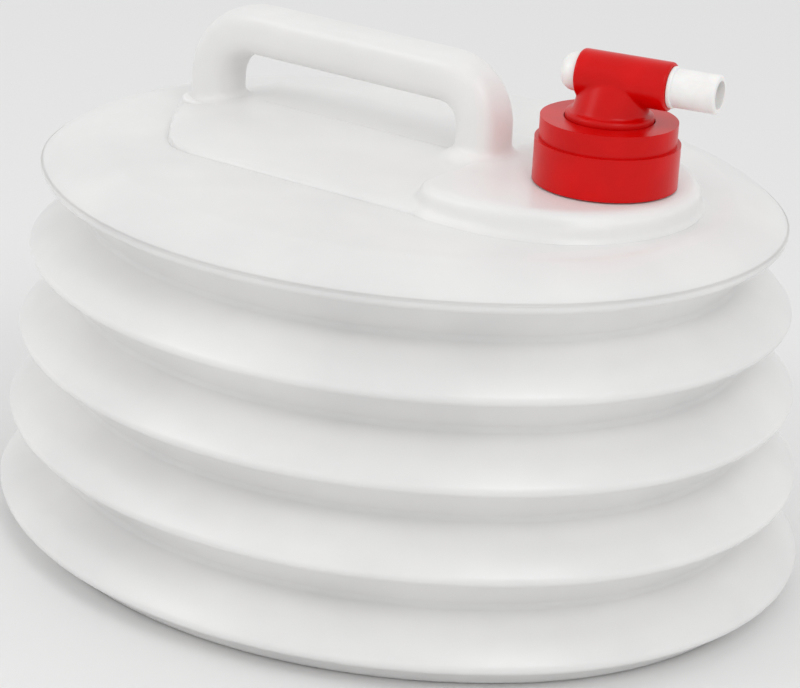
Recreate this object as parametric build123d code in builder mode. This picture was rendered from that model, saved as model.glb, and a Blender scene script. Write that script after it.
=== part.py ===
"""Collapsible water container of about 10 litres.

An oval bottle of soft plastic whose side folds like a bellows, so that it can be pressed flat.
Its deck carries a long raised boss, a hollow handle and a neck. A ring nut clamps a tap on the
neck, and a spout that slides through the tap's barrel opens and shuts it.

Frame: +Z up, z = 0 on the surface it stands on, X along the handle, the neck on the +X side.
Lengths are millimetres, angles are degrees.
"""

import os
from math import cos, radians, sin, sqrt

from build123d import *

os.makedirs("parts", exist_ok=True)

# Oval plan: half axes of the top fold, and how much each fold below it grows all round
top_half_length = 154.1
top_half_width = 133.2
fold_growth = 3.83

# Folds. Insets are measured inwards from a fold's half axes, drops downwards from its level
fold_count = 5
fold_pitch = 33.4
base_level = 30.3
wall = 1.3
crease_inset = 20.0
crease_drop = 2.6
crease_land = 2.4
crease_radius = 1.6
shoulder_inset = 4.0
shoulder_drop = 12.1
shoulder_radius = 24.0
nose_reach = 3.4
nose_drop = 21.0
nose_radius = 2.6
lip_inset = 6.9
lip_drop = 21.6
lip_radius = 2.6

# Deck, foot and floor
deck_inset = 21.0
deck_drop = 8.0
deck_rim_radius = 15.0
deck_shoulder_drop = 13.2
foot_inset = 10.9
foot_radius = 4.0
foot_width = 9.0
floor_lift = 4.0
floor_slope_run = 5.0
floor_radius = 3.0
plate_overlap = 8.0

# Boss on the deck: a long oval ridge with a flat pad at each end
boss_left_centre = -59.0
boss_left_radius = 52.0
boss_right_centre = 66.0
boss_right_radius = 57.0
boss_side_radius = 900.0
boss_wall = 1.6
ridge_height = 8.4
ridge_taper = 62.0
ridge_edge_radius = 4.0
pad_height = 10.6
pad_taper = 8.0
pad_inset = 0.5
pad_edge_radius = 3.6
pad_corner_radius = 16.0
left_pad_end = -72.0
right_pad_start = 36.0
plan_reach = 200.0

# Handle: a hollow tube of rounded section on two posts
handle_left = -98.6
handle_right = 34.0
handle_rise = 29.8
handle_thick = 19.6
handle_wide = 20.4
handle_edge_radius = 7.0
handle_left_bend = 23.0
handle_right_bend = 17.0
handle_wall = 1.8

# Neck, on the same vertical axis as the cap and the tap
neck_x = 89.6
neck_outer = 46.6
neck_bore = 38.0
neck_rise = 21.0

# Ring nut that screws on the neck
cap_outer = 55.0
cap_upper_outer = 52.0
cap_bore = 47.4
cap_rise = 3.2
cap_height = 24.6
cap_band_height = 16.2
cap_top_thick = 2.4
cap_hole = 34.4
cap_rim_radius = 2.2
cap_foot_radius = 1.0

# Sealing washer and tap body
washer_thick = 1.2
washer_outer = 46.0
washer_hole = 30.0
flange_outer = 46.0
seat_gap = 0.1
hub_outer = 33.6
hub_collar = 2.6
hub_collar_radius = 1.2
hub_cone_foot = 29.0
hub_saddle_length = 26.0
hub_saddle_width = 17.0
hub_saddle_shift = 2.0
hub_water_bore = 7.0
tap_turn = 11.0
barrel_rise = 43.4
barrel_outer = 18.4
barrel_rear = -12.6
barrel_front = 23.4
barrel_edge_radius = 0.8

# Spout: a tube that slides through the barrel, with a port in its underside
spout_outer = 14.6
spout_clearance = 0.06
spout_bore = 10.6
nozzle_reach = 18.6
nozzle_bead_outer = 15.8
nozzle_bead_width = 1.8
nozzle_bead_radius = 0.5
nozzle_tip_radius = 0.8
button_reach = 7.2
button_radius = 5.4
spout_travel = 6.5
port_length = 5.0
port_width = 9.0

# Levels
top_level = base_level + (fold_count - 1) * fold_pitch
deck_level = top_level - deck_drop
neck_rim = top_level + neck_rise
cap_foot = top_level + cap_rise
cap_top = cap_foot + cap_height
cap_underside = cap_top - cap_top_thick
flange_foot = neck_rim + washer_thick
barrel_level = top_level + barrel_rise
handle_level = top_level + handle_rise

# The plan is four arcs that meet at 45 degrees, so an outline grown all round keeps its centres
arc_centre = (top_half_length - top_half_width) / (2 - sqrt(2))
end_radius = top_half_length - arc_centre
side_radius = top_half_width + arc_centre
quarters = [
    (Vector(arc_centre, 0), end_radius, -45),
    (Vector(0, -arc_centre), side_radius, 45),
    (Vector(-arc_centre, 0), end_radius, 135),
    (Vector(0, arc_centre), side_radius, 225),
]


def oval(grow):
    """Flat face of the plan, grown outwards all round."""
    with BuildSketch() as plan:
        with BuildLine():
            for centre, radius, start in quarters:
                CenterArc(centre, radius + grow, start, 90)
        make_face()
    return plan.sketch


def section_plane(centre, radius, start):
    """Upright plane at the start of one quarter: its x is the inset from the plan, its y is height."""
    outwards = Vector(cos(radians(start)), sin(radians(start)))
    return Plane(origin=centre + outwards * radius, x_dir=outwards, z_dir=outwards.rotate(Axis.Z, -90))


def crease_level(fold):
    """Height of the crease above a fold, counted from the top fold."""
    return top_level - fold * fold_pitch - crease_drop


def wall_profile():
    """Corners of the bottle's outer profile from deck to floor, each with its rounding."""
    corners = [((-deck_inset, deck_level), deck_rim_radius)]
    for fold in range(fold_count):
        grow = fold * fold_growth
        level = top_level - fold * fold_pitch
        if fold == 0:
            corners += [((-shoulder_inset, level - deck_shoulder_drop), shoulder_radius)]
        else:
            crease = crease_level(fold)
            corners += [
                ((grow - crease_inset, crease + crease_land / 2), crease_radius),
                ((grow - crease_inset, crease - crease_land / 2), crease_radius),
                ((grow - shoulder_inset, level - shoulder_drop), shoulder_radius),
            ]
        corners += [
            ((grow + nose_reach, level - nose_drop), nose_radius),
            ((grow - lip_inset, level - lip_drop), lip_radius),
        ]
    foot = (fold_count - 1) * fold_growth - foot_inset
    ring = foot - foot_width
    corners += [
        ((foot, 0), foot_radius),
        ((ring, 0), floor_radius),
        ((ring - floor_slope_run, floor_lift), floor_radius),
    ]
    return corners


def long_oval(inset):
    """Plan of the boss: two end arcs of different size joined by two long, gently bowed arcs."""
    left_reach = boss_side_radius - boss_left_radius
    right_reach = boss_side_radius - boss_right_radius
    span = boss_right_centre - boss_left_centre
    side_x = boss_left_centre + (span**2 + left_reach**2 - right_reach**2) / (2 * span)
    side_y = sqrt(left_reach**2 - (side_x - boss_left_centre) ** 2)
    side = Vector(side_x, side_y)
    left, right = Vector(boss_left_centre, 0), Vector(boss_right_centre, 0)
    from_left = side + (left - side).normalized() * (boss_side_radius - inset)
    from_right = side + (right - side).normalized() * (boss_side_radius - inset)
    crown = side - Vector(0, boss_side_radius - inset)
    left_tip = left - Vector(boss_left_radius - inset, 0)
    right_tip = right + Vector(boss_right_radius - inset, 0)
    with BuildSketch() as plan:
        with BuildLine():
            ThreePointArc(from_left, crown, from_right)
            ThreePointArc(from_right, right_tip, Vector(from_right.X, -from_right.Y))
            ThreePointArc(
                Vector(from_right.X, -from_right.Y),
                Vector(crown.X, -crown.Y),
                Vector(from_left.X, -from_left.Y),
            )
            ThreePointArc(Vector(from_left.X, -from_left.Y), left_tip, from_left)
        make_face()
    return plan.sketch


def pad_plan(inset, start, end):
    """The stretch of the boss's plan between two X positions, with its cut corners rounded."""
    with BuildSketch() as plan:
        add(long_oval(inset))
        with Locations(((start + end) / 2, 0)):
            Rectangle(end - start, 2 * plan_reach, mode=Mode.INTERSECT)
        cut = start if start > -plan_reach else end
        corners = [v for v in plan.vertices() if abs(v.X - cut) < 0.01]
        fillet(corners, radius=pad_corner_radius)
    return plan.sketch


def handle_tube(foot_level, thick, wide, edge_radius):
    """Rounded bar that rises on the left post, runs along the top and comes down on the right."""
    with BuildPart() as tube:
        with BuildLine(Plane.XZ) as run:
            FilletPolyline(
                (handle_left, foot_level),
                (handle_left, handle_level),
                (handle_right, handle_level),
                (handle_right, foot_level),
                radius=[handle_left_bend, handle_right_bend],
            )
        with BuildSketch(Plane((handle_left, 0, foot_level))):
            RectangleRounded(thick, wide, edge_radius)
        sweep(path=run.wire())
    return tube.part


def boss_ridge(shrink):
    """Long ridge with sloping flanks, and the stretch of deck under it."""
    foot = long_oval(shrink / cos(radians(ridge_taper)))
    with BuildPart() as ridge:
        with BuildSketch(Plane.XY.offset(deck_level)):
            add(foot)
        extrude(amount=ridge_height - shrink, taper=ridge_taper)
        if shrink == 0:
            fillet(ridge.faces().sort_by(Axis.Z)[-1].edges(), radius=ridge_edge_radius)
        with BuildSketch(Plane.XY.offset(deck_level)):
            add(foot)
        extrude(amount=-2 * wall)
    return ridge.part


def boss_pad(shrink, start, end):
    """Flat pad on one end of the boss, with a rounded top edge."""
    plan = pad_plan(pad_inset + shrink, start, end)
    with BuildPart() as pad:
        with BuildSketch(Plane.XY.offset(deck_level)):
            add(plan)
        extrude(amount=pad_height - shrink, taper=pad_taper)
        fillet(pad.faces().sort_by(Axis.Z)[-1].edges(), radius=pad_edge_radius - shrink)
    return pad.part


def boss_form(shrink, handle_shrink):
    """Ridge, pads and handle as one solid. Shrunk by the wall, it is the space inside them."""
    pieces = [
        boss_ridge(shrink),
        boss_pad(shrink, -plan_reach, left_pad_end - shrink),
        boss_pad(shrink, right_pad_start + shrink, plan_reach),
        handle_tube(
            deck_level,
            handle_thick - 2 * handle_shrink,
            handle_wide - 2 * handle_shrink,
            handle_edge_radius - handle_shrink,
        ),
    ]
    with BuildPart() as form:
        add(pieces)
    return form.part


# Whole bottle wall: one profile carried round the four arcs of the plan
with BuildPart() as bottle:
    corners = wall_profile()
    first = (-deck_inset - plate_overlap, deck_level)
    last = (corners[-1][0][0] - plate_overlap, floor_lift)
    points = [first] + [point for point, radius in corners] + [last]
    rounding = [radius for point, radius in corners]
    for centre, radius, start in quarters:
        with BuildSketch(section_plane(centre, radius, start)):
            with BuildLine():
                FilletPolyline(*points, radius=rounding)
                offset(amount=wall, side=Side.RIGHT)
            make_face()
        revolve(axis=Axis(centre, (0, 0, 1)), revolution_arc=90)


top_cut = crease_level(1)
base_cut = crease_level(fold_count - 1)

# Top shell: first fold, deck, boss, handle and neck, hollow throughout
boss_outside = boss_form(0, 0)
boss_inside = boss_form(boss_wall, handle_wall)
deck_plate = oval(-deck_inset - plate_overlap / 2)
floor_plate = oval(points[-1][0] + plate_overlap / 2)
with BuildPart() as top_shell:
    add(bottle.part)
    split(bisect_by=Plane.XY.offset(top_cut), keep=Keep.TOP)
    with BuildSketch(Plane.XY.offset(deck_level - wall)):
        add(deck_plate)
    extrude(amount=wall)
    add(boss_outside)
    with BuildSketch(Plane.XY.offset(deck_level)):
        with Locations((neck_x, 0)):
            Circle(neck_outer / 2)
    extrude(amount=neck_rim - deck_level)
    add(boss_inside, mode=Mode.SUBTRACT)
    with BuildSketch(Plane.XY.offset(deck_level - 2 * wall)):
        with Locations((neck_x, 0)):
            Circle(neck_bore / 2)
    extrude(amount=neck_rim - deck_level + 2 * wall, mode=Mode.SUBTRACT)
top_shell.part.label = "top_shell"
export_step(top_shell.part, "parts/top_shell.step")

# Bellows: the three folds between the two cuts
with BuildPart() as bellows:
    add(bottle.part)
    split(bisect_by=Plane.XY.offset(top_cut), keep=Keep.BOTTOM)
    split(bisect_by=Plane.XY.offset(base_cut), keep=Keep.TOP)
bellows.part.label = "bellows"
export_step(bellows.part, "parts/bellows.step")

# Base shell: last fold, foot ring and raised floor
with BuildPart() as base_shell:
    add(bottle.part)
    split(bisect_by=Plane.XY.offset(base_cut), keep=Keep.BOTTOM)
    with BuildSketch(Plane.XY.offset(floor_lift)):
        add(floor_plate)
    extrude(amount=wall)
base_shell.part.label = "base_shell"
export_step(base_shell.part, "parts/base_shell.step")

cap_axis = Axis((neck_x, 0, 0), (0, 0, 1))
cap_section = Plane(origin=(neck_x, 0, cap_foot), x_dir=(1, 0, 0), z_dir=(0, -1, 0))

# Ring nut: a wide grip band below, a narrower rim above, and a hole for the tap's hub
with BuildPart() as screw_cap:
    with BuildSketch(cap_section) as section:
        with BuildLine():
            Polyline(
                (cap_bore / 2, 0),
                (cap_outer / 2, 0),
                (cap_outer / 2, cap_band_height),
                (cap_upper_outer / 2, cap_band_height),
                (cap_upper_outer / 2, cap_height),
                (cap_hole / 2, cap_height),
                (cap_hole / 2, cap_height - cap_top_thick),
                (cap_bore / 2, cap_height - cap_top_thick),
                close=True,
            )
        make_face()
        outline = section.vertices()
        fillet(outline.filter_by(lambda v: v.Z > cap_top - 0.1 and v.X > neck_x + cap_bore / 2), cap_rim_radius)
        band = section.vertices().filter_by(lambda v: abs(v.X - neck_x - cap_outer / 2) < 0.1)
        fillet(band, cap_foot_radius)
    revolve(axis=cap_axis)
screw_cap.part.label = "screw_cap"
export_step(screw_cap.part, "parts/screw_cap.step")

# Washer between the neck's rim and the tap's flange
with BuildPart() as sealing_washer:
    with BuildSketch(Plane((neck_x, 0, neck_rim))):
        Circle(washer_outer / 2)
        Circle(washer_hole / 2, mode=Mode.SUBTRACT)
    extrude(amount=washer_thick)
sealing_washer.part.label = "sealing_washer"
export_step(sealing_washer.part, "parts/sealing_washer.step")

# Tap body: flange under the ring nut, hub through its hole, and a level barrel across the hub
tap_axis = Vector(cos(radians(tap_turn)), sin(radians(tap_turn)))
hub_level = cap_top + hub_collar
tap_centre = Vector(neck_x, 0, barrel_level)


def across_tap(distance):
    """Plane square to the barrel's axis, at a distance along it from the hub's axis."""
    return Plane(origin=tap_centre + tap_axis * distance, x_dir=(0, 0, 1), z_dir=tap_axis)


with BuildPart() as tap_body:
    with BuildSketch(across_tap(barrel_rear)):
        Circle(barrel_outer / 2)
    extrude(amount=barrel_front - barrel_rear)
    fillet(tap_body.edges().filter_by(GeomType.CIRCLE), barrel_edge_radius)
    with BuildSketch(Plane((neck_x, 0, flange_foot))):
        Circle(flange_outer / 2)
    extrude(amount=cap_underside - seat_gap - flange_foot)
    with BuildSketch(Plane((neck_x, 0, flange_foot))):
        Circle(hub_outer / 2)
    extrude(amount=hub_level - flange_foot)
    collar = tap_body.edges().filter_by(lambda e: e.geom_type == GeomType.CIRCLE and abs(e.center().Z - hub_level) < 0.01)
    fillet(collar, hub_collar_radius)
    with BuildSketch(Plane((neck_x, 0, hub_level))):
        Circle(hub_cone_foot / 2)
    with BuildSketch(Plane(origin=tap_centre, x_dir=tap_axis, z_dir=(0, 0, 1))):
        with Locations((hub_saddle_shift, 0)):
            Ellipse(hub_saddle_length / 2, hub_saddle_width / 2)
    loft()
    with BuildSketch(across_tap(0)):
        Circle(spout_outer / 2 + spout_clearance)
    extrude(amount=barrel_front, both=True, mode=Mode.SUBTRACT)
    with BuildSketch(Plane((neck_x, 0, flange_foot))):
        Circle(hub_water_bore / 2)
    extrude(amount=barrel_level - flange_foot, mode=Mode.SUBTRACT)
tap_body.part.label = "tap_body"
export_step(tap_body.part, "parts/tap_body.step")

# Spout: rounded button at the rear, open nozzle with a bead at its root
spout_rear = barrel_rear - button_reach
spout_front = barrel_front + nozzle_reach
bore_end = -spout_travel - port_length
with BuildPart() as spout:
    with BuildSketch(across_tap(spout_rear)):
        Circle(spout_outer / 2)
    extrude(amount=spout_front - spout_rear)
    ends = spout.edges().filter_by(GeomType.CIRCLE).sort_by(Axis(tap_centre, tap_axis))
    fillet(ends[0], button_radius)
    fillet(spout.edges().filter_by(GeomType.CIRCLE).sort_by(Axis(tap_centre, tap_axis))[-1], nozzle_tip_radius)
    with BuildSketch(across_tap(barrel_front)):
        Circle(nozzle_bead_outer / 2)
    extrude(amount=nozzle_bead_width)
    bead = spout.edges().filter_by(GeomType.CIRCLE).filter_by(lambda e: abs(e.radius - nozzle_bead_outer / 2) < 0.01)
    fillet(bead, nozzle_bead_radius)
    with BuildSketch(across_tap(bore_end)):
        Circle(spout_bore / 2)
    extrude(amount=spout_front - bore_end, mode=Mode.SUBTRACT)
    with BuildSketch(Plane(origin=tap_centre, x_dir=tap_axis, z_dir=(0, 0, -1))):
        with Locations((-spout_travel, 0)):
            Rectangle(port_length, port_width)
    extrude(amount=spout_outer, mode=Mode.SUBTRACT)
spout.part.label = "spout"
export_step(spout.part, "parts/spout.step")

nodes = (top_shell, bellows, base_shell, screw_cap, sealing_washer, tap_body, spout)
for node in nodes:
    size = node.part.bounding_box().size
    print(node.part.label, round(node.part.volume), "mm3", [round(v, 1) for v in size], node.part.is_valid)
print("height", round(tap_body.part.bounding_box().max.Z, 2), "crease levels", top_cut, base_cut)
print("tap axis", tap_axis, "spout from", spout_rear, "to", spout_front)
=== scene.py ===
# %% [markdown]
# # Collapsible water container
#
# A soft bottle of about ten litres. Its side folds like a bellows, a handle is moulded on top of it,
# and a red ring nut holds a red tap with a white spout. The imported CAD model gives the frame: every
# piece below stands where its CAD node stands, and the tap rides on its node's body.

from math import acos, atan2, ceil, cos, pi, radians, sin, sqrt, tan

import bmesh
import bpy
from mathutils import Matrix, Quaternion, Vector


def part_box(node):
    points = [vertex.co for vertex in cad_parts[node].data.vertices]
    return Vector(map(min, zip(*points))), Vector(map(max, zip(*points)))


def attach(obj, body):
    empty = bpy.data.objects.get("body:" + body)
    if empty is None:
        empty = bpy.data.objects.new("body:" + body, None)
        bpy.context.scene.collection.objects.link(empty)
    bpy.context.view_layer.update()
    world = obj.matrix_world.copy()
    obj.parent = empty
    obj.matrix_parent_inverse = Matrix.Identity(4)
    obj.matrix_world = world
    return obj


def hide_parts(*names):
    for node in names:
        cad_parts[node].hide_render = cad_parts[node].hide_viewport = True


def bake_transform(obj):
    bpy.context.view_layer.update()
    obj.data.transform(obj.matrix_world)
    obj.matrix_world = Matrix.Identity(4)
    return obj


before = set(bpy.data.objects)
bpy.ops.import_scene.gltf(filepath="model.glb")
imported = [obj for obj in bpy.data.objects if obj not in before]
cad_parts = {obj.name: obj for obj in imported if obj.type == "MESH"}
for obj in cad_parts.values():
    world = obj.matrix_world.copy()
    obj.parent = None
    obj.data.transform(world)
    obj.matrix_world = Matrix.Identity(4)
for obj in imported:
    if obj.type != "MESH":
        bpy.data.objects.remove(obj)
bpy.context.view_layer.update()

# %% [markdown]
# ## Drawing with extrude and spin
#
# A mould maker draws a section from straight lines and arcs, then carries it round a plan that is
# made of arcs too. Both steps are the same two tools in edit mode: extrude for a straight stretch
# and spin for an arc. Without a window spin turns clockwise, so its angle is given a minus sign.

# %% Selection, extrude and spin
MM = 0.001
X_AXIS, Y_AXIS, UP = Vector((1, 0, 0)), Vector((0, 1, 0)), Vector((0, 0, 1))
WELD = 0.01 * MM


def deselect_all():
    if bpy.context.object and bpy.context.object.mode != "OBJECT":
        bpy.ops.object.mode_set(mode="OBJECT")
    bpy.ops.object.select_all(action="DESELECT")


def start_at(name, point):
    """A new mesh of one vertex, left in edit mode with the vertex selected."""
    deselect_all()
    bpy.ops.mesh.primitive_plane_add(size=MM)
    piece = bpy.context.object
    piece.name = name
    bpy.ops.object.mode_set(mode="EDIT")
    bpy.ops.mesh.merge(type="CENTER")
    bpy.ops.transform.translate(value=point)
    return piece


def extrude_by(move):
    bpy.ops.mesh.extrude_region_move(TRANSFORM_OT_translate={"value": move})


def spin_by(centre, axis, angle, steps):
    bpy.ops.mesh.spin(steps=steps, angle=-angle, center=centre, axis=axis)


def close_up():
    """Welds what meets, fills what is open, and turns every face outwards.

    On a deeply folded wall the outward test can be wrong, so the shell's volume is asked as well.
    """
    bpy.ops.mesh.select_all(action="SELECT")
    bpy.ops.mesh.remove_doubles(threshold=WELD)
    bpy.ops.mesh.fill_holes(sides=0)
    bpy.ops.mesh.normals_make_consistent(inside=False)
    if bmesh.from_edit_mesh(bpy.context.object.data).calc_volume(signed=True) < 0:
        bpy.ops.mesh.flip_normals()
    bpy.ops.object.mode_set(mode="OBJECT")


# %% [markdown]
# ## A section with rounded corners
#
# A section is a short list of corners in millimetres, each with the radius that rounds it. Each
# rounding is an arc that touches both its lines. The right side of the line is the inside of the
# plastic, so the same corners moved to the right by the wall's thickness give the inner surface.

# %% Work out and draw a section
ARC_STEP = radians(14)
LONGEST_FACET = 7 * MM


def rounded(corners, inset=0.0):
    """Stretches of a rounded line: where each arc starts, its centre, its turn and where it ends."""
    points = [Vector(point) for point, radius in corners]
    stretches = []
    for index, (point, (place, radius)) in enumerate(zip(points, corners)):
        before = (point - points[index - 1]).normalized() if index else None
        after = (points[index + 1] - point).normalized() if index + 1 < len(points) else None
        heading = before or after
        to_right = Vector((heading.y, -heading.x))
        if before is None or after is None or radius == 0:
            stretches.append((point + to_right * inset, None, 0.0, point + to_right * inset))
            continue
        turn = atan2(before.x * after.y - before.y * after.x, before.dot(after))
        side = 1 if turn > 0 else -1
        start = point - before * radius * tan(abs(turn) / 2)
        centre = start - to_right * radius * side
        start += to_right * inset
        end = centre + Matrix.Rotation(turn, 2) @ (start - centre)
        stretches.append((start, centre, turn, end))
    return stretches


def draw_section(name, stretches, origin, out, along):
    """Draws a section in the plane of two directions, and leaves it selected in edit mode."""

    def place(point):
        return origin + (out * point.x + along * point.y) * MM

    here = place(stretches[0][0])
    piece = start_at(name, here)
    for start, centre, turn, end in stretches:
        if (place(start) - here).length > WELD:
            extrude_by(place(start) - here)
        if centre is not None:
            arc_length = (start - centre).length * abs(turn) * MM
            steps = max(3, ceil(abs(turn) / ARC_STEP), ceil(arc_length / LONGEST_FACET))
            spin_by(place(centre), out.cross(along), turn, steps)
        here = place(end)
    bpy.ops.mesh.select_all(action="SELECT")
    return piece


def turned(name, corners, origin, axis, out, steps=96):
    """A piece turned on an axis, as on a lathe: x is the radius, y the place along the axis."""
    piece = draw_section(name, rounded(corners), origin, out, axis)
    spin_by(origin, axis, 2 * pi, steps)
    close_up()
    return piece


# %% [markdown]
# ## Joining and cutting solids
#
# Closed pieces are added together or cut from each other with a Boolean modifier, which is applied
# at once. The manifold solver suits closed meshes. Where a blown or moulded piece has soft inside
# corners, the joined solid is remeshed to even squares and smoothed a little.

# %% Boolean and soft corners
def combine(piece, other, operation):
    deselect_all()
    piece.select_set(True)
    bpy.context.view_layer.objects.active = piece
    bpy.ops.object.modifier_add(type="BOOLEAN")
    modifier = piece.modifiers[-1]
    modifier.operation = operation
    modifier.solver = "MANIFOLD"
    modifier.object = other
    bpy.ops.object.modifier_apply(modifier=modifier.name)
    bpy.data.objects.remove(other)
    return piece


def soften(piece, grid, rounds):
    deselect_all()
    piece.select_set(True)
    bpy.context.view_layer.objects.active = piece
    bpy.ops.object.modifier_add(type="REMESH")
    piece.modifiers[-1].mode = "VOXEL"
    piece.modifiers[-1].voxel_size = grid * MM
    bpy.ops.object.modifier_apply(modifier=piece.modifiers[-1].name)
    bpy.ops.object.modifier_add(type="SMOOTH")
    piece.modifiers[-1].factor = 0.5
    piece.modifiers[-1].iterations = rounds
    bpy.ops.object.modifier_apply(modifier=piece.modifiers[-1].name)
    return piece


def shade(piece, angle=38):
    deselect_all()
    piece.select_set(True)
    bpy.context.view_layer.objects.active = piece
    bpy.ops.object.shade_smooth_by_angle(angle=radians(angle))
    triangles = sum(len(face.vertices) - 2 for face in piece.data.polygons)
    print(piece.name, "has", triangles, "triangles")
    return piece


# %% [markdown]
# ## The bottle's folded wall
#
# The plan is an oval of four arcs that meet at 45 degrees, so every fold is the same oval grown all
# round. The folds run from the small top one to the large bottom one. Each has a soft shoulder, a
# full nose, and a lip that turns sharply in to the crease below it. The foot is a ring round a
# raised floor.

# %% Sizes of the wall, in millimetres
TOP_HALF_LENGTH, TOP_HALF_WIDTH, FOLD_GROWTH = 154.1, 133.2, 3.83
FOLD_COUNT, FOLD_PITCH, BASE_LEVEL = 5, 33.4, 30.3
WALL = 1.3
CREASE_INSET, CREASE_DROP, CREASE_LAND, CREASE_RADIUS = 20.0, 2.6, 2.4, 1.6
SHOULDER_INSET, SHOULDER_DROP, SHOULDER_RADIUS = 4.0, 12.1, 24.0
NOSE_REACH, NOSE_DROP, NOSE_RADIUS = 3.4, 21.0, 2.6
LIP_INSET, LIP_DROP, LIP_RADIUS = 6.9, 21.6, 2.6
DECK_INSET, DECK_DROP, DECK_RIM_RADIUS, DECK_SHOULDER_DROP = 21.0, 8.0, 15.0, 13.2
FOOT_INSET, FOOT_RADIUS, FOOT_WIDTH = 10.9, 4.0, 9.0
FLOOR_LIFT, FLOOR_SLOPE_RUN, FLOOR_RADIUS = 4.0, 5.0, 3.0
PLATE_RUN = 8.0
TOP_LEVEL = BASE_LEVEL + (FOLD_COUNT - 1) * FOLD_PITCH
DECK_LEVEL = TOP_LEVEL - DECK_DROP
QUARTER_STEPS = 26

ARC_OFFSET = (TOP_HALF_LENGTH - TOP_HALF_WIDTH) / (2 - sqrt(2))
END_RADIUS = TOP_HALF_LENGTH - ARC_OFFSET
SIDE_RADIUS = TOP_HALF_WIDTH + ARC_OFFSET
QUARTER_CENTRES = [(ARC_OFFSET, 0), (0, -ARC_OFFSET), (-ARC_OFFSET, 0), (0, ARC_OFFSET)]


# %% The wall's section and the closed form of the bottle
def wall_corners():
    corners = [((-DECK_INSET - PLATE_RUN, DECK_LEVEL), 0), ((-DECK_INSET, DECK_LEVEL), DECK_RIM_RADIUS)]
    for fold in range(FOLD_COUNT):
        grow = fold * FOLD_GROWTH
        level = TOP_LEVEL - fold * FOLD_PITCH
        if fold == 0:
            corners.append(((-SHOULDER_INSET, level - DECK_SHOULDER_DROP), SHOULDER_RADIUS))
        else:
            crease = level - CREASE_DROP
            corners.append(((grow - CREASE_INSET, crease + CREASE_LAND / 2), CREASE_RADIUS))
            corners.append(((grow - CREASE_INSET, crease - CREASE_LAND / 2), CREASE_RADIUS))
            corners.append(((grow - SHOULDER_INSET, level - SHOULDER_DROP), SHOULDER_RADIUS))
        corners.append(((grow + NOSE_REACH, level - NOSE_DROP), NOSE_RADIUS))
        corners.append(((grow - LIP_INSET, level - LIP_DROP), LIP_RADIUS))
    foot = (FOLD_COUNT - 1) * FOLD_GROWTH - FOOT_INSET
    ring = foot - FOOT_WIDTH
    corners.append(((foot, 0), FOOT_RADIUS))
    corners.append(((ring, 0), FLOOR_RADIUS))
    corners.append(((ring - FLOOR_SLOPE_RUN, FLOOR_LIFT), FLOOR_RADIUS))
    corners.append(((ring - FLOOR_SLOPE_RUN - PLATE_RUN, FLOOR_LIFT), 0))
    return corners


def folded_body(name, inset):
    """The wall carried round the four arcs of the plan, closed by the deck and the floor."""
    first = Vector((ARC_OFFSET, 0, 0))
    out = Vector((cos(radians(-45)), sin(radians(-45)), 0))
    origin = (first + out * END_RADIUS) * MM
    piece = draw_section(name, rounded(wall_corners(), inset), origin, out, UP)
    for centre in QUARTER_CENTRES:
        spin_by((centre[0] * MM, centre[1] * MM, 0), UP, radians(90), QUARTER_STEPS)
    close_up()
    return piece


# %% [markdown]
# ## The boss on the deck
#
# A low rise is blown up out of the deck. It is crowned across, falls towards the left post, and has a
# small crisp step round it. Its right end carries a flat pad for the neck and the right post. Both
# plans are drawn as a band pulled tight round a few circles would lie, which gives arcs and straight
# runs that meet smoothly. The crown is not sculpted: an upright prism of the plan is cut to two
# rounded slabs, one seen from the end and one from the side, as a pattern maker would plane it.

# %% Sizes of the boss, in millimetres
TIP_CENTRE, TIP_RADIUS = Vector((-98.6, 0)), 16.4
SHOULDER_X, SHOULDER_Y, SHOULDER_END_RADIUS = -64.0, 32.0, 26.0
RIGHT_CENTRE, RIGHT_RADIUS = Vector((66.0, 0)), 57.5
BOSS_WALL, HANDLE_WALL = 1.6, 1.8
RIDGE_HEIGHT, RIDGE_STEP = 8.4, 1.6
FALL_START, FALL_RADIUS = -80.0, 60.0
PAD_HEIGHT, PAD_RUN, PAD_INSET = 10.6, 1.5, 0.5
PAD_EDGE, PAD_FOOT, PAD_CORNER, PAD_START = 3.6, 3.0, 16.0, 36.0
FLARE_RUN, FLARE_DIP, ROOT_DEPTH = 3.0, 0.35, 2.6
REACH = 200.0
PAD_LEVEL = DECK_LEVEL + PAD_HEIGHT
CROWN_LEVEL = DECK_LEVEL + RIDGE_HEIGHT
BOSS_GRID, BOSS_SMOOTHING = 1.7, 3


# %% A band round circles, and a section carried along it
def band(circles):
    """Arcs of a band pulled tight round circles, counter-clockwise: centre, radius, start, sweep."""
    bearings = []
    for (centre, radius), (next_centre, next_radius) in zip(circles, circles[1:] + circles[:1]):
        to_next = next_centre - centre
        lean = acos((radius - next_radius) / to_next.length)
        bearings.append(atan2(to_next.y, to_next.x) - lean)
    arcs = []
    for index, (centre, radius) in enumerate(circles):
        start = bearings[index - 1]
        arcs.append((centre, radius, start, (bearings[index] - start) % (2 * pi)))
    return arcs


def carried(name, corners, plan):
    """A section carried round a closed plan of arcs, and closed at its top and bottom."""
    centre, radius, start, sweep = plan[0]
    out = Vector((cos(start), sin(start), 0))
    origin = (centre.to_3d() + out * radius) * MM
    piece = draw_section(name, rounded(corners), origin, out, UP)
    reached = origin
    for centre, radius, start, sweep in plan:
        out = Vector((cos(start), sin(start), 0))
        foot = (centre.to_3d() + out * radius) * MM
        if (foot - reached).length > WELD:
            extrude_by(foot - reached)
        steps = max(4, ceil(abs(sweep) * radius / 4))
        spin_by(centre.to_3d() * MM, UP, sweep, steps)
        end = Vector((cos(start + sweep), sin(start + sweep), 0))
        reached = (centre.to_3d() + end * radius) * MM
    if (origin - reached).length > WELD:
        extrude_by(origin - reached)
    close_up()
    return piece


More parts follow.
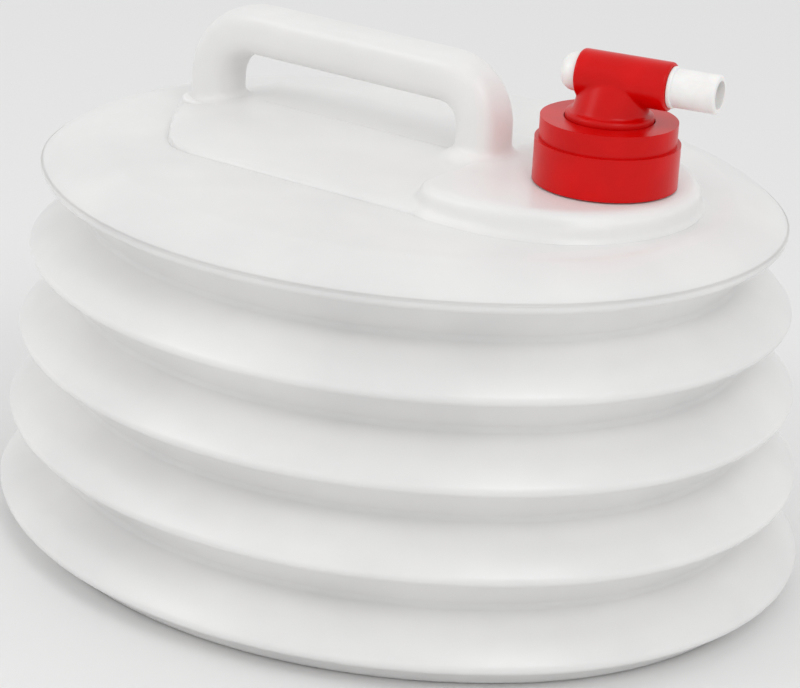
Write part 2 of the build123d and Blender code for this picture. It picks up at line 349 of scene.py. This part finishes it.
def slab(name, corners, out, along):
    """A closed section whose x runs along one direction, pulled out along the other."""
    piece = draw_section(name, rounded(corners), -along * REACH * MM, out, UP)
    bpy.ops.mesh.edge_face_add()
    extrude_by(along * 2 * REACH * MM)
    close_up()
    return piece


# %% The crowned rise
def ridge(name, shrink):
    """Prism of the plan, planed to a crown across the deck and a fall towards the left post."""
    shoulder = SHOULDER_END_RADIUS - shrink
    circles = [
        (TIP_CENTRE, TIP_RADIUS - shrink),
        (Vector((SHOULDER_X, -SHOULDER_Y)), shoulder),
        (RIGHT_CENTRE, RIGHT_RADIUS - shrink),
        (Vector((SHOULDER_X, SHOULDER_Y)), shoulder),
    ]
    low, brim, crown = DECK_LEVEL - ROOT_DEPTH, DECK_LEVEL + RIDGE_STEP - shrink, CROWN_LEVEL - shrink
    piece = carried(name, [((0, crown + RIDGE_HEIGHT), 0), ((0, low), 0)], band(circles))
    half = SHOULDER_Y + SHOULDER_END_RADIUS
    rise = crown - brim
    radius = (half**2 + rise**2) / (2 * rise)
    peak = brim + half * half / (radius - rise)
    across = [((-half, low - 1), 0), ((-half, brim), 0), ((0, peak), radius * 0.999), ((half, brim), 0)]
    across.append(((half, low - 1), 0))
    combine(piece, slab("crown", across, Y_AXIS, X_AXIS), "INTERSECT")
    tip = TIP_CENTRE.x - TIP_RADIUS
    along = [((tip, low - 1), 0), ((tip, brim), 0), ((FALL_START, crown), FALL_RADIUS)]
    along += [((REACH, crown), 0), ((REACH, low - 1), 0)]
    combine(piece, slab("fall", along, X_AXIS, Y_AXIS), "INTERSECT")
    return piece


# %% The pad at the right end
def pad(name, shrink):
    inset = PAD_INSET + shrink
    corner, end = PAD_CORNER - shrink, RIGHT_RADIUS - inset
    corner_x, corner_y = PAD_START + PAD_CORNER, RIGHT_RADIUS - PAD_INSET - PAD_CORNER
    circles = [
        (Vector((corner_x, -corner_y)), corner),
        (RIGHT_CENTRE, end),
        (Vector((corner_x, corner_y)), corner),
    ]
    section = [
        ((-PAD_RUN - 8, PAD_LEVEL - shrink), 0),
        ((-PAD_RUN, PAD_LEVEL - shrink), PAD_EDGE - shrink),
        ((0, DECK_LEVEL), PAD_FOOT if shrink == 0 else 0),
        ((0 if shrink else FLARE_RUN, DECK_LEVEL - FLARE_DIP), 0),
        ((0 if shrink else FLARE_RUN, DECK_LEVEL - ROOT_DEPTH), 0),
    ]
    return carried(name, section, band(circles))


# %% [markdown]
# ## Handle and neck
#
# The handle is a hollow tube of rounded square section. It is a ring of edges that is carried up the
# left post, round a bend, along the top and down again. Its feet widen where they meet the pads.

# %% The handle
HANDLE_LEFT, HANDLE_RIGHT, HANDLE_RISE = TIP_CENTRE.x, 34.0, 29.8
HANDLE_THICK, HANDLE_WIDE, HANDLE_EDGE = 19.6, 20.4, 7.0
LEFT_BEND, RIGHT_BEND = 23.0, 17.0
FOOT_FLARE, FLARE_STEPS = 3.2, 5
RING_REACH, RING_HEIGHT, RING_EDGE = 3.6, 5.5, 1.2
HANDLE_LEVEL = TOP_LEVEL + HANDLE_RISE


def bar_section(name, centre, grow):
    """The handle's rounded square, grown all round, as a ring of edges left in edit mode."""
    deselect_all()
    bpy.ops.mesh.primitive_plane_add(size=MM)
    piece = bpy.context.object
    piece.name = name
    bpy.ops.object.mode_set(mode="EDIT")
    bpy.ops.transform.resize(value=(HANDLE_THICK + 2 * grow, HANDLE_WIDE + 2 * grow, 1))
    bpy.ops.mesh.bevel(offset=(HANDLE_EDGE + grow) * MM, segments=6, affect="VERTICES")
    bpy.ops.mesh.select_all(action="SELECT")
    bpy.ops.mesh.delete(type="ONLY_FACE")
    bpy.ops.mesh.select_all(action="SELECT")
    bpy.ops.transform.translate(value=centre)
    return piece


def grow_by(change, grow, centre):
    """Makes the selected ring wider by a change, from how much it has grown so far."""
    factors = [1 + 2 * change / (size + 2 * grow) for size in (HANDLE_THICK, HANDLE_WIDE)]
    bpy.ops.transform.resize(value=(*factors, 1), center_override=centre)


def handle_tube(name, shrink):
    """The handle's tube. Shrunk by its wall, it is the space inside it."""
    foot_level = DECK_LEVEL - ROOT_DEPTH / 2
    piece = bar_section(name, Vector((HANDLE_LEFT, 0, foot_level)) * MM, -shrink)
    extrude_by(UP * (HANDLE_LEVEL - LEFT_BEND - foot_level) * MM)
    left_bend = Vector((HANDLE_LEFT + LEFT_BEND, 0, HANDLE_LEVEL - LEFT_BEND)) * MM
    spin_by(left_bend, Y_AXIS, radians(90), 12)
    extrude_by(X_AXIS * (HANDLE_RIGHT - HANDLE_LEFT - LEFT_BEND - RIGHT_BEND) * MM)
    right_bend = Vector((HANDLE_RIGHT - RIGHT_BEND, 0, HANDLE_LEVEL - RIGHT_BEND)) * MM
    spin_by(right_bend, Y_AXIS, radians(90), 12)
    extrude_by(UP * (foot_level - HANDLE_LEVEL + RIGHT_BEND) * MM)
    close_up()
    return piece


# %% The feet of the two posts
def flared_foot(name):
    """A collar on the pad that rounds the corner below the right post."""
    centre = Vector((HANDLE_RIGHT, 0, DECK_LEVEL)) * MM
    piece = bar_section(name, centre, FOOT_FLARE)
    extrude_by(UP * PAD_HEIGHT * MM)
    wide, low = FOOT_FLARE, 0.0
    for step in range(1, FLARE_STEPS + 1):
        angle = radians(90) * step / FLARE_STEPS
        next_wide, next_low = FOOT_FLARE * (1 - sin(angle)), FOOT_FLARE * (1 - cos(angle))
        extrude_by(UP * (next_low - low) * MM)
        grow_by(next_wide - wide, wide, centre)
        wide, low = next_wide, next_low
    close_up()
    return piece


def ring_foot(name):
    """The flat ring that the left post stands in, with a rounded top edge."""
    centre = Vector((HANDLE_LEFT, 0, DECK_LEVEL - 1)) * MM
    piece = bar_section(name, centre, RING_REACH)
    extrude_by(UP * (RING_HEIGHT + 1 - RING_EDGE) * MM)
    wide, low = RING_REACH, 0.0
    for step in range(1, FLARE_STEPS + 1):
        angle = radians(90) * step / FLARE_STEPS
        next_wide, next_low = RING_REACH - RING_EDGE * (1 - cos(angle)), RING_EDGE * sin(angle)
        extrude_by(UP * (next_low - low) * MM)
        grow_by(next_wide - wide, wide, centre)
        wide, low = next_wide, next_low
    close_up()
    return piece


# %% The neck
cap_low, cap_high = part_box("screw_cap")
NECK_AXIS = Vector(((cap_low.x + cap_high.x) / 2, 0, 0))
NECK_RIM = TOP_LEVEL + 21.0
NECK_BORE, NECK_ROOT, NECK_CREST = 38.0 / 2, 44.6 / 2, 46.4 / 2


def neck_solid():
    corners = [
        ((NECK_ROOT + 2.0, DECK_LEVEL - 2), 0),
        ((NECK_ROOT, PAD_LEVEL + 1.6), 1.6),
        ((NECK_ROOT, NECK_RIM), 0.8),
        ((NECK_BORE - 4, NECK_RIM), 0),
    ]
    return turned("neck", corners, NECK_AXIS, UP, X_AXIS)


def thread(name, root, crest, foot_level, turns, pitch):
    """A screw thread: a small section turned a step at a time and lifted by its share of the pitch."""
    steps = 36
    inwards = -1 if crest < root else 1
    section = [
        ((root - inwards * 0.5, foot_level - 0.9), 0),
        ((crest, foot_level - 0.35), 0),
        ((crest, foot_level + 0.35), 0),
        ((root - inwards * 0.5, foot_level + 0.9), 0),
    ]
    piece = draw_section(name, rounded(section), NECK_AXIS, X_AXIS, UP)
    bpy.ops.mesh.edge_face_add()
    bpy.ops.mesh.delete(type="ONLY_FACE")
    bpy.ops.mesh.select_all(action="SELECT")
    for step in range(int(turns * steps)):
        spin_by(NECK_AXIS, UP, 2 * pi / steps, 1)
        bpy.ops.transform.translate(value=UP * pitch / steps * MM)
    close_up()
    return piece


# %% [markdown]
# ## Putting the bottle together
#
# The rise, the pad and the handle are joined, remeshed and smoothed, which leaves the soft corners of
# a blown bottle. The ring at the left post and the pinch line on the crest, where the mould's halves
# met, are crisp on the real one, so they come after. The same forms drawn smaller by the wall are
# the space inside, which is cut away with the neck's bore.

# %% Outside of the bottle
SEAM_START, SEAM_END, SEAM_HALF, SEAM_DEPTH = -75.0, 22.0, 0.5, 0.8


def boss(name, shrink, handle_shrink):
    piece = ridge(name, shrink)
    combine(piece, pad("pad", shrink), "UNION")
    combine(piece, handle_tube("handle", handle_shrink), "UNION")
    return piece


def pinch_line():
    """A fine V groove along the crest, under the handle."""
    across = [((-SEAM_HALF, CROWN_LEVEL + 1), 0), ((0, CROWN_LEVEL - SEAM_DEPTH), 0), ((SEAM_HALF, CROWN_LEVEL + 1), 0)]
    piece = draw_section("pinch_line", rounded(across), X_AXIS * SEAM_START * MM, Y_AXIS, UP)
    bpy.ops.mesh.edge_face_add()
    extrude_by(X_AXIS * (SEAM_END - SEAM_START) * MM)
    close_up()
    return piece


bottle = folded_body("bottle", 0)
outer_boss = boss("outer_boss", 0, 0)
combine(outer_boss, flared_foot("right_foot"), "UNION")
soften(outer_boss, BOSS_GRID, BOSS_SMOOTHING)
combine(outer_boss, pinch_line(), "DIFFERENCE")
combine(outer_boss, ring_foot("left_foot"), "UNION")
combine(bottle, outer_boss, "UNION")
combine(bottle, neck_solid(), "UNION")
print("outside of the bottle has", len(bottle.data.polygons), "faces")

# %% Space inside the bottle, and the neck's bore
BORE_FOOT, BORE_TOP = DECK_LEVEL - 6, NECK_RIM + 2
space = folded_body("space", WALL)
bore = [((0, BORE_FOOT), 0), ((NECK_BORE, BORE_FOOT), 0), ((NECK_BORE, BORE_TOP), 0), ((0, BORE_TOP), 0)]
combine(space, turned("bore", bore, NECK_AXIS, UP, X_AXIS), "UNION")
combine(bottle, space, "DIFFERENCE")
boss_space = boss("boss_space", BOSS_WALL, HANDLE_WALL)
bpy.ops.object.modifier_add(type="TRIANGULATE")
bpy.ops.object.modifier_apply(modifier=boss_space.modifiers[-1].name)
combine(bottle, boss_space, "DIFFERENCE")
combine(bottle, thread("neck_thread", NECK_ROOT, NECK_CREST, NECK_RIM - 13.5, 2.5, 4.0), "UNION")
shade(bottle)
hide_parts("top_shell", "bellows", "base_shell")

# %% [markdown]
# ## The tap
#
# The tap is one injection moulding: a flange that the nut clamps, a round hub with a collar, and a
# level barrel across it. A thick neck of plastic flows from the hub up into the barrel with no edge
# between them. So the barrel, the neck and the hub are joined, remeshed finely and smoothed, and only
# then are the spout's bore and the water's way cut, which stay sharp.

# %% Sizes of the tap, in millimetres
TAP_TURN = radians(11)
BARREL_LEVEL = TOP_LEVEL + 43.4
BARREL_RADIUS, BARREL_REAR, BARREL_FRONT, BARREL_EDGE = 18.4 / 2, -12.6, 23.4, 0.8
HUB_RADIUS, HUB_LEVEL, COLLAR_RADIUS = 33.6 / 2, TOP_LEVEL + 30.4, 1.2
FLANGE_RADIUS, FLANGE_FOOT, FLANGE_TOP = 46.0 / 2, TOP_LEVEL + 22.2, TOP_LEVEL + 25.3
STEM_FOOT, STEM_LENGTH, STEM_WIDTH, STEM_SHIFT = 29.0 / 2, 26.0 / 2, 17.8 / 2, 2.0
SPOUT_BORE, WATER_BORE = 14.6 / 2 + 0.06, 7.0 / 2
TAP_GRID, TAP_SMOOTHING = 0.5, 8
TAP_AXIS = Vector((cos(TAP_TURN), sin(TAP_TURN), 0))
TAP_CENTRE = NECK_AXIS + UP * BARREL_LEVEL * MM


# %% The tap's stem, from the hub's circle to an oval in the barrel
def tap_stem():
    deselect_all()
    foot = NECK_AXIS + UP * (HUB_LEVEL - 0.5) * MM
    bpy.ops.mesh.primitive_circle_add(vertices=72, radius=STEM_FOOT * MM, fill_type="NGON", location=foot)
    piece = bpy.context.object
    piece.name = "stem"
    bpy.ops.object.mode_set(mode="EDIT")
    extrude_by(Vector((STEM_SHIFT * MM, 0, TAP_CENTRE.z - foot.z)))
    centre = TAP_CENTRE + X_AXIS * STEM_SHIFT * MM
    factors = (STEM_LENGTH / STEM_FOOT, STEM_WIDTH / STEM_FOOT, 1)
    bpy.ops.transform.resize(value=factors, center_override=centre)
    close_up()
    piece.rotation_euler = (0, 0, TAP_TURN)
    bpy.ops.object.transform_apply(location=True, rotation=True, scale=True)
    return piece


# %% Barrel, stem and hub joined, and the bores cut
def round_bar(name, radius, start, end, edge, origin, axis, out):
    corners = [((0, start), 0), ((radius, start), edge), ((radius, end), edge), ((0, end), 0)]
    return turned(name, corners, origin, axis, out)


tap = round_bar("tap", BARREL_RADIUS, BARREL_REAR, BARREL_FRONT, BARREL_EDGE, TAP_CENTRE, TAP_AXIS, UP)
combine(tap, tap_stem(), "UNION")
hub = [((0, FLANGE_FOOT), 0), ((HUB_RADIUS, FLANGE_FOOT), 0), ((HUB_RADIUS, HUB_LEVEL), COLLAR_RADIUS), ((0, HUB_LEVEL), 0)]
combine(tap, turned("hub", hub, NECK_AXIS, UP, X_AXIS), "UNION")
soften(tap, TAP_GRID, TAP_SMOOTHING)
combine(tap, round_bar("flange", FLANGE_RADIUS, FLANGE_FOOT, FLANGE_TOP, 0.3, NECK_AXIS, UP, X_AXIS), "UNION")
spout_bore = round_bar("spout_bore", SPOUT_BORE, -40, 40, 0, TAP_CENTRE, TAP_AXIS, UP)
combine(tap, spout_bore, "DIFFERENCE")
water_bore = round_bar("water_bore", WATER_BORE, FLANGE_FOOT - 2, BARREL_LEVEL, 0, NECK_AXIS, UP, X_AXIS)
combine(tap, water_bore, "DIFFERENCE")
shade(tap)
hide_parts("tap_body")
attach(tap, "tap")

# %% [markdown]
# ## Floor, light and camera

# %% Colours and nodes
def linear(hex_colour):
    """The linear colour, with alpha, of an sRGB hex value."""
    values = [int(hex_colour[i : i + 2], 16) / 255 for i in (1, 3, 5)]
    return (*[v / 12.92 if v <= 0.04045 else ((v + 0.055) / 1.055) ** 2.4 for v in values], 1)


def add_node(tree, kind, inputs=None, **settings):
    """Adds a node with its settings; each input is a value or the output that feeds it."""
    node = tree.nodes.new(kind)
    for name, value in settings.items():
        setattr(node, name, value)
    for socket, value in (inputs or {}).items():
        if isinstance(value, bpy.types.NodeSocket):
            tree.links.new(value, node.inputs[socket])
        else:
            node.inputs[socket].default_value = value
    return node


def new_material(name):
    material = bpy.data.materials.new(name)
    material.use_nodes = True
    return material, material.node_tree, material.node_tree.nodes["Principled BSDF"]


# %% Low-density polyethylene, blow-moulded
def milky_polyethylene():
    material, tree, shader = new_material("milky_ldpe_blow_moulded")
    place = add_node(tree, "ShaderNodeTexCoord").outputs["Object"]
    cloud = add_node(tree, "ShaderNodeTexNoise", {"Vector": place, "Scale": 1000 / 70, "Detail": 3.0})
    tone = add_node(tree, "ShaderNodeValToRGB", {"Fac": cloud.outputs["Fac"]})
    tone.color_ramp.elements[0].position = 0.36
    tone.color_ramp.elements[0].color = linear("#E6E5E4")
    tone.color_ramp.elements[1].position = 0.66
    tone.color_ramp.elements[1].color = linear("#EFEEEC")
    skin = add_node(tree, "ShaderNodeTexNoise", {"Vector": place, "Scale": 1000 / 5, "Detail": 2.0})
    bump = add_node(tree, "ShaderNodeBump", {"Height": skin.outputs["Fac"], "Strength": 0.12, "Distance": 0.3 * MM})
    tree.links.new(tone.outputs["Color"], shader.inputs["Base Color"])
    tree.links.new(bump.outputs["Normal"], shader.inputs["Normal"])
    shader.inputs["Roughness"].default_value = 0.33
    shader.inputs["IOR"].default_value = 1.51
    shader.inputs["Subsurface Weight"].default_value = 0.4
    shader.inputs["Subsurface Radius"].default_value = (1.0, 0.94, 0.9)
    shader.inputs["Subsurface Scale"].default_value = 5 * MM
    return material


# %% Polypropylene, injection-moulded, red
def red_polypropylene():
    material, tree, shader = new_material("red_pp_injection_moulded")
    place = add_node(tree, "ShaderNodeTexCoord").outputs["Object"]
    flow = add_node(tree, "ShaderNodeTexNoise", {"Vector": place, "Scale": 1000 / 18, "Detail": 2.0})
    tone = add_node(tree, "ShaderNodeValToRGB", {"Fac": flow.outputs["Fac"]})
    tone.color_ramp.elements[0].position = 0.35
    tone.color_ramp.elements[0].color = linear("#C60202")
    tone.color_ramp.elements[1].position = 0.65
    tone.color_ramp.elements[1].color = linear("#D20303")
    skin = add_node(tree, "ShaderNodeTexNoise", {"Vector": place, "Scale": 1000 / 1.2, "Detail": 2.0})
    bump = add_node(tree, "ShaderNodeBump", {"Height": skin.outputs["Fac"], "Strength": 0.10, "Distance": 0.08 * MM})
    tree.links.new(tone.outputs["Color"], shader.inputs["Base Color"])
    tree.links.new(bump.outputs["Normal"], shader.inputs["Normal"])
    shader.inputs["Roughness"].default_value = 0.28
    shader.inputs["IOR"].default_value = 1.49
    shader.inputs["Specular IOR Level"].default_value = 0.22
    return material


# %% Polyethylene, injection-moulded, white, and the washer's silicone
def pale_plastic(name, dark, light, roughness, ior, grain):
    material, tree, shader = new_material(name)
    place = add_node(tree, "ShaderNodeTexCoord").outputs["Object"]
    flow = add_node(tree, "ShaderNodeTexNoise", {"Vector": place, "Scale": 1000 / grain, "Detail": 2.0})
    tone = add_node(tree, "ShaderNodeValToRGB", {"Fac": flow.outputs["Fac"]})
    tone.color_ramp.elements[0].position = 0.35
    tone.color_ramp.elements[0].color = linear(dark)
    tone.color_ramp.elements[1].position = 0.65
    tone.color_ramp.elements[1].color = linear(light)
    bump = add_node(tree, "ShaderNodeBump", {"Height": flow.outputs["Fac"], "Strength": 0.08, "Distance": 0.1 * MM})
    tree.links.new(tone.outputs["Color"], shader.inputs["Base Color"])
    tree.links.new(bump.outputs["Normal"], shader.inputs["Normal"])
    shader.inputs["Roughness"].default_value = roughness
    shader.inputs["IOR"].default_value = ior
    shader.inputs["Subsurface Weight"].default_value = 0.15
    shader.inputs["Subsurface Scale"].default_value = 2 * MM
    return material


# %% Give each piece its finish
def dress(piece, material):
    piece.data.materials.clear()
    piece.data.materials.append(material)


dress(bottle, milky_polyethylene())
red = red_polypropylene()
dress(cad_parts["screw_cap"], red)
dress(tap, red)
dress(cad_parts["spout"], pale_plastic("white_pe_injection_moulded", "#EAEAE8", "#F0F0EE", 0.3, 1.51, 6))
dress(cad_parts["sealing_washer"], pale_plastic("silicone_sheet", "#D2D2CC", "#DCDCD6", 0.55, 1.41, 3))

# %% Floor
deselect_all()
bpy.ops.mesh.primitive_plane_add(size=8.0)
floor = bpy.context.object
floor.name = "floor"
material, tree, shader = new_material("pale_floor")
shader.inputs["Base Color"].default_value = linear("#E9E9E9")
shader.inputs["Roughness"].default_value = 0.9
dress(floor, material)

# %% Light
world = bpy.data.worlds.new("studio")
bpy.context.scene.world = world
world.use_nodes = True
world.node_tree.nodes["Background"].inputs["Color"].default_value = linear("#FFFFFF")
world.node_tree.nodes["Background"].inputs["Strength"].default_value = 0.86


def soft_box(name, azimuth, elevation, distance, size, power):
    """A square soft box that faces the middle of the object."""
    aim = Vector((0, 0, 0.10))
    a, e = radians(azimuth), radians(elevation)
    away = Vector((sin(a) * cos(e), -cos(a) * cos(e), sin(e)))
    bpy.ops.object.light_add(type="AREA", location=aim + away * distance)
    lamp = bpy.context.object
    lamp.name = name
    lamp.data.energy = power
    lamp.data.size = size
    lamp.rotation_euler = (-away).to_track_quat("-Z", "Y").to_euler()
    return lamp


soft_box("front_box", 60, 45, 1.6, 0.6, 4)
soft_box("left_box", -40, 35, 1.6, 0.5, 2.5)

# %% Camera
CAMERA_AZIMUTH, CAMERA_ELEVATION, CAMERA_ROLL = 35.119, 20.591, 3.146
CAMERA_AIM = Vector((2.95, -4.38, 79.7)) * MM
CAMERA_DISTANCE = 1.1238
a, e = radians(CAMERA_AZIMUTH), radians(CAMERA_ELEVATION)
back = Vector((sin(a) * cos(e), -cos(a) * cos(e), sin(e)))
bpy.ops.object.camera_add(location=CAMERA_AIM + back * CAMERA_DISTANCE)
camera = bpy.context.object
camera.rotation_mode = "QUATERNION"
level = (-back).to_track_quat("-Z", "Y")
camera.rotation_quaternion = level @ Quaternion((0, 0, 1), radians(CAMERA_ROLL))
camera.data.lens = 125.63
camera.data.clip_end = 20
bpy.context.scene.camera = camera
bpy.context.scene.view_settings.view_transform = "Standard"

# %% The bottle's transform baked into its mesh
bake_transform(bottle)
